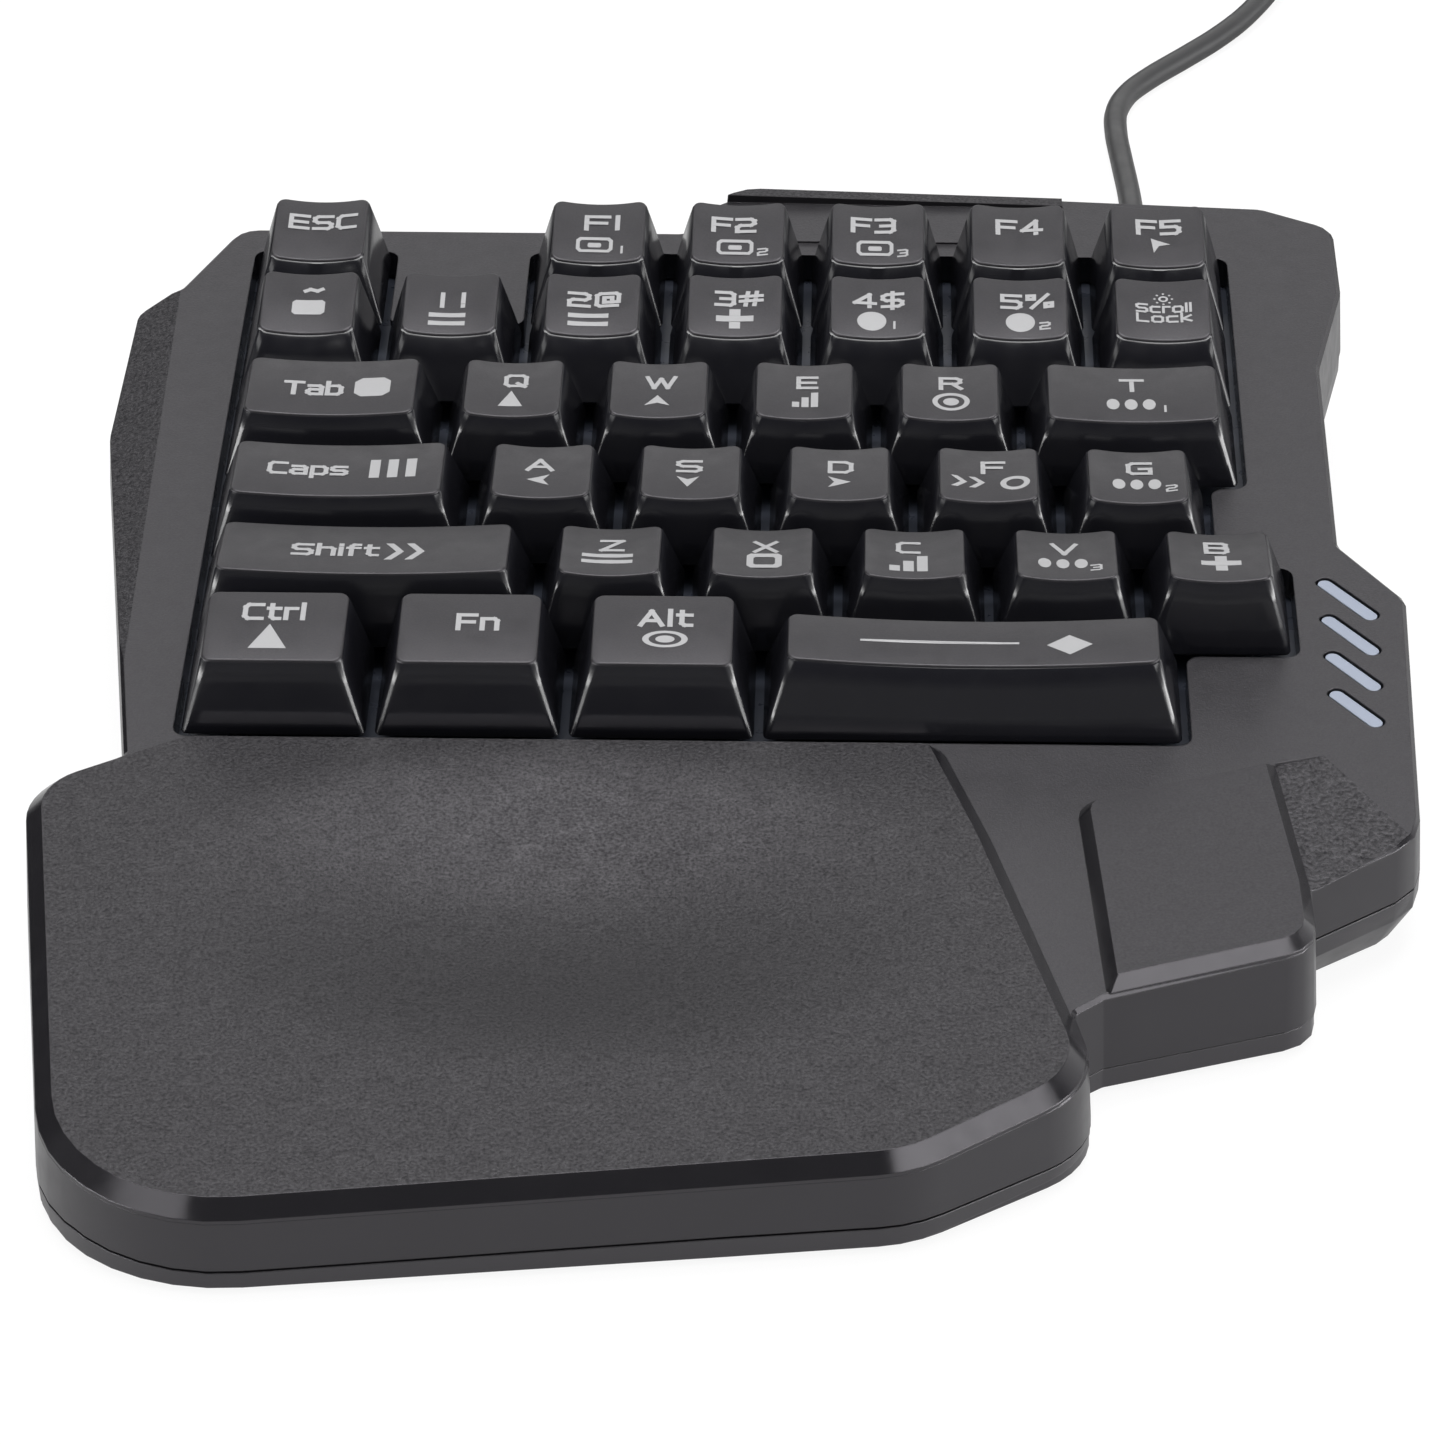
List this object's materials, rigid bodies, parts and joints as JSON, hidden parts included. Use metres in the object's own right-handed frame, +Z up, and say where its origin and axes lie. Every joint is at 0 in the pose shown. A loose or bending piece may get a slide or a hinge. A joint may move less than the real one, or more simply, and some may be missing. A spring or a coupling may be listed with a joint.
{
  "type": "gaming keypad",
  "caption": "One-handed wired gaming keypad: sculpted keys that press down, dished palm rest, thumb pad, slanted light windows and a coiled lead with a USB plug.",
  "frame": {"origin": "on the desk under the middle of the case, level with the soles of the feet", "axes": "+X to the right across the keys, +Y to the back, +Z up from the desk"},
  "size_m": [0.1763, 0.4481, 0.0382],
  "materials": {
    "shell": "fine textured dark grey plastic",
    "base": "smooth dark grey plastic",
    "keycap": "satin black plastic, matt on top, with pale printed legends",
    "plate": "smooth black plastic",
    "domes": "milky silicone rubber",
    "film": "clear polyester film",
    "steel": "plain zinc plated steel",
    "board": "green solder mask",
    "lens": "frosted bluish white plastic",
    "rubber": "matt black rubber",
    "cord": "satin black sheath"
  },
  "bodies": {
    "case": {"top_case": "shell", "bottom_case": "base", "key_plate": "plate", "rubber_dome_sheet": "domes", "membrane_circuit": "film", "backing_plate": "steel", "controller_board": "board", "light_guide": "lens", "light_board": "board", "screw_rear_right": "steel", "screw_left": "steel", "screw_palm": "steel", "screw_thumb": "steel", "foot_front_left": "rubber", "foot_front_right": "rubber", "foot_rear_left": "rubber", "foot_rear_right": "rubber", "cord_strain_relief": "rubber", "cord_run": "cord", "cord_coil": "cord", "cord_tie": "rubber", "usb_plug_body": "rubber", "usb_plug_shell": "steel", "usb_plug_tongue": "plate"},
    "key_esc": {"keycap_esc": "keycap"},
    "key_f1": {"keycap_f1": "keycap"},
    "key_f2": {"keycap_f2": "keycap"},
    "key_f3": {"keycap_f3": "keycap"},
    "key_f4": {"keycap_f4": "keycap"},
    "key_f5": {"keycap_f5": "keycap"},
    "key_tilde": {"keycap_tilde": "keycap"},
    "key_1": {"keycap_1": "keycap"},
    "key_2": {"keycap_2": "keycap"},
    "key_3": {"keycap_3": "keycap"},
    "key_4": {"keycap_4": "keycap"},
    "key_5": {"keycap_5": "keycap"},
    "key_scroll_lock": {"keycap_scroll_lock": "keycap"},
    "key_tab": {"keycap_tab": "keycap"},
    "key_q": {"keycap_q": "keycap"},
    "key_w": {"keycap_w": "keycap"},
    "key_e": {"keycap_e": "keycap"},
    "key_r": {"keycap_r": "keycap"},
    "key_t": {"keycap_t": "keycap"},
    "key_caps_lock": {"keycap_caps_lock": "keycap"},
    "key_a": {"keycap_a": "keycap"},
    "key_s": {"keycap_s": "keycap"},
    "key_d": {"keycap_d": "keycap"},
    "key_f": {"keycap_f": "keycap"},
    "key_g": {"keycap_g": "keycap"},
    "key_shift": {"keycap_shift": "keycap"},
    "key_z": {"keycap_z": "keycap"},
    "key_x": {"keycap_x": "keycap"},
    "key_c": {"keycap_c": "keycap"},
    "key_v": {"keycap_v": "keycap"},
    "key_b": {"keycap_b": "keycap"},
    "key_ctrl": {"keycap_ctrl": "keycap"},
    "key_fn": {"keycap_fn": "keycap"},
    "key_alt": {"keycap_alt": "keycap"},
    "key_space": {"keycap_space": "keycap"}
  },
  "joints": [
    {"name": "press_esc", "type": "slide", "parent": "case", "child": "key_esc", "axis": [0, -0.0924, 0.9957], "range_m": [-0.0035, 0], "stiffness_N_per_m": 250, "springref_m": 0.0008, "deforming": ["rubber_dome_sheet"]},
    {"name": "press_f1", "type": "slide", "parent": "case", "child": "key_f1", "axis": [0, -0.0924, 0.9957], "range_m": [-0.0035, 0], "stiffness_N_per_m": 250, "springref_m": 0.0008, "deforming": ["rubber_dome_sheet"]},
    {"name": "press_f2", "type": "slide", "parent": "case", "child": "key_f2", "axis": [0, -0.0924, 0.9957], "range_m": [-0.0035, 0], "stiffness_N_per_m": 250, "springref_m": 0.0008, "deforming": ["rubber_dome_sheet"]},
    {"name": "press_f3", "type": "slide", "parent": "case", "child": "key_f3", "axis": [0, -0.0924, 0.9957], "range_m": [-0.0035, 0], "stiffness_N_per_m": 250, "springref_m": 0.0008, "deforming": ["rubber_dome_sheet"]},
    {"name": "press_f4", "type": "slide", "parent": "case", "child": "key_f4", "axis": [0, -0.0924, 0.9957], "range_m": [-0.0035, 0], "stiffness_N_per_m": 250, "springref_m": 0.0008, "deforming": ["rubber_dome_sheet"]},
    {"name": "press_f5", "type": "slide", "parent": "case", "child": "key_f5", "axis": [0, -0.0924, 0.9957], "range_m": [-0.0035, 0], "stiffness_N_per_m": 250, "springref_m": 0.0008, "deforming": ["rubber_dome_sheet"]},
    {"name": "press_tilde", "type": "slide", "parent": "case", "child": "key_tilde", "axis": [0, -0.0924, 0.9957], "range_m": [-0.0035, 0], "stiffness_N_per_m": 250, "springref_m": 0.0008, "deforming": ["rubber_dome_sheet"]},
    {"name": "press_1", "type": "slide", "parent": "case", "child": "key_1", "axis": [0, -0.0924, 0.9957], "range_m": [-0.0035, 0], "stiffness_N_per_m": 250, "springref_m": 0.0008, "deforming": ["rubber_dome_sheet"]},
    {"name": "press_2", "type": "slide", "parent": "case", "child": "key_2", "axis": [0, -0.0924, 0.9957], "range_m": [-0.0035, 0], "stiffness_N_per_m": 250, "springref_m": 0.0008, "deforming": ["rubber_dome_sheet"]},
    {"name": "press_3", "type": "slide", "parent": "case", "child": "key_3", "axis": [0, -0.0924, 0.9957], "range_m": [-0.0035, 0], "stiffness_N_per_m": 250, "springref_m": 0.0008, "deforming": ["rubber_dome_sheet"]},
    {"name": "press_4", "type": "slide", "parent": "case", "child": "key_4", "axis": [0, -0.0924, 0.9957], "range_m": [-0.0035, 0], "stiffness_N_per_m": 250, "springref_m": 0.0008, "deforming": ["rubber_dome_sheet"]},
    {"name": "press_5", "type": "slide", "parent": "case", "child": "key_5", "axis": [0, -0.0924, 0.9957], "range_m": [-0.0035, 0], "stiffness_N_per_m": 250, "springref_m": 0.0008, "deforming": ["rubber_dome_sheet"]},
    {"name": "press_scroll_lock", "type": "slide", "parent": "case", "child": "key_scroll_lock", "axis": [0, -0.0924, 0.9957], "range_m": [-0.0035, 0], "stiffness_N_per_m": 250, "springref_m": 0.0008, "deforming": ["rubber_dome_sheet"]},
    {"name": "press_tab", "type": "slide", "parent": "case", "child": "key_tab", "axis": [0, -0.0924, 0.9957], "range_m": [-0.0035, 0], "stiffness_N_per_m": 250, "springref_m": 0.0008, "deforming": ["rubber_dome_sheet"]},
    {"name": "press_q", "type": "slide", "parent": "case", "child": "key_q", "axis": [0, -0.0924, 0.9957], "range_m": [-0.0035, 0], "stiffness_N_per_m": 250, "springref_m": 0.0008, "deforming": ["rubber_dome_sheet"]},
    {"name": "press_w", "type": "slide", "parent": "case", "child": "key_w", "axis": [0, -0.0924, 0.9957], "range_m": [-0.0035, 0], "stiffness_N_per_m": 250, "springref_m": 0.0008, "deforming": ["rubber_dome_sheet"]},
    {"name": "press_e", "type": "slide", "parent": "case", "child": "key_e", "axis": [0, -0.0924, 0.9957], "range_m": [-0.0035, 0], "stiffness_N_per_m": 250, "springref_m": 0.0008, "deforming": ["rubber_dome_sheet"]},
    {"name": "press_r", "type": "slide", "parent": "case", "child": "key_r", "axis": [0, -0.0924, 0.9957], "range_m": [-0.0035, 0], "stiffness_N_per_m": 250, "springref_m": 0.0008, "deforming": ["rubber_dome_sheet"]},
    {"name": "press_t", "type": "slide", "parent": "case", "child": "key_t", "axis": [0, -0.0924, 0.9957], "range_m": [-0.0035, 0], "stiffness_N_per_m": 250, "springref_m": 0.0008, "deforming": ["rubber_dome_sheet"]},
    {"name": "press_caps_lock", "type": "slide", "parent": "case", "child": "key_caps_lock", "axis": [0, -0.0924, 0.9957], "range_m": [-0.0035, 0], "stiffness_N_per_m": 250, "springref_m": 0.0008, "deforming": ["rubber_dome_sheet"]},
    {"name": "press_a", "type": "slide", "parent": "case", "child": "key_a", "axis": [0, -0.0924, 0.9957], "range_m": [-0.0035, 0], "stiffness_N_per_m": 250, "springref_m": 0.0008, "deforming": ["rubber_dome_sheet"]},
    {"name": "press_s", "type": "slide", "parent": "case", "child": "key_s", "axis": [0, -0.0924, 0.9957], "range_m": [-0.0035, 0], "stiffness_N_per_m": 250, "springref_m": 0.0008, "deforming": ["rubber_dome_sheet"]},
    {"name": "press_d", "type": "slide", "parent": "case", "child": "key_d", "axis": [0, -0.0924, 0.9957], "range_m": [-0.0035, 0], "stiffness_N_per_m": 250, "springref_m": 0.0008, "deforming": ["rubber_dome_sheet"]},
    {"name": "press_f", "type": "slide", "parent": "case", "child": "key_f", "axis": [0, -0.0924, 0.9957], "range_m": [-0.0035, 0], "stiffness_N_per_m": 250, "springref_m": 0.0008, "deforming": ["rubber_dome_sheet"]},
    {"name": "press_g", "type": "slide", "parent": "case", "child": "key_g", "axis": [0, -0.0924, 0.9957], "range_m": [-0.0035, 0], "stiffness_N_per_m": 250, "springref_m": 0.0008, "deforming": ["rubber_dome_sheet"]},
    {"name": "press_shift", "type": "slide", "parent": "case", "child": "key_shift", "axis": [0, -0.0924, 0.9957], "range_m": [-0.0035, 0], "stiffness_N_per_m": 250, "springref_m": 0.0008, "deforming": ["rubber_dome_sheet"]},
    {"name": "press_z", "type": "slide", "parent": "case", "child": "key_z", "axis": [0, -0.0924, 0.9957], "range_m": [-0.0035, 0], "stiffness_N_per_m": 250, "springref_m": 0.0008, "deforming": ["rubber_dome_sheet"]},
    {"name": "press_x", "type": "slide", "parent": "case", "child": "key_x", "axis": [0, -0.0924, 0.9957], "range_m": [-0.0035, 0], "stiffness_N_per_m": 250, "springref_m": 0.0008, "deforming": ["rubber_dome_sheet"]},
    {"name": "press_c", "type": "slide", "parent": "case", "child": "key_c", "axis": [0, -0.0924, 0.9957], "range_m": [-0.0035, 0], "stiffness_N_per_m": 250, "springref_m": 0.0008, "deforming": ["rubber_dome_sheet"]},
    {"name": "press_v", "type": "slide", "parent": "case", "child": "key_v", "axis": [0, -0.0924, 0.9957], "range_m": [-0.0035, 0], "stiffness_N_per_m": 250, "springref_m": 0.0008, "deforming": ["rubber_dome_sheet"]},
    {"name": "press_b", "type": "slide", "parent": "case", "child": "key_b", "axis": [0, -0.0924, 0.9957], "range_m": [-0.0035, 0], "stiffness_N_per_m": 250, "springref_m": 0.0008, "deforming": ["rubber_dome_sheet"]},
    {"name": "press_ctrl", "type": "slide", "parent": "case", "child": "key_ctrl", "axis": [0, -0.0924, 0.9957], "range_m": [-0.0035, 0], "stiffness_N_per_m": 250, "springref_m": 0.0008, "deforming": ["rubber_dome_sheet"]},
    {"name": "press_fn", "type": "slide", "parent": "case", "child": "key_fn", "axis": [0, -0.0924, 0.9957], "range_m": [-0.0035, 0], "stiffness_N_per_m": 250, "springref_m": 0.0008, "deforming": ["rubber_dome_sheet"]},
    {"name": "press_alt", "type": "slide", "parent": "case", "child": "key_alt", "axis": [0, -0.0924, 0.9957], "range_m": [-0.0035, 0], "stiffness_N_per_m": 250, "springref_m": 0.0008, "deforming": ["rubber_dome_sheet"]},
    {"name": "press_space", "type": "slide", "parent": "case", "child": "key_space", "axis": [0, -0.0924, 0.9957], "range_m": [-0.0035, 0], "stiffness_N_per_m": 250, "springref_m": 0.0008, "deforming": ["rubber_dome_sheet"]}
  ]
}
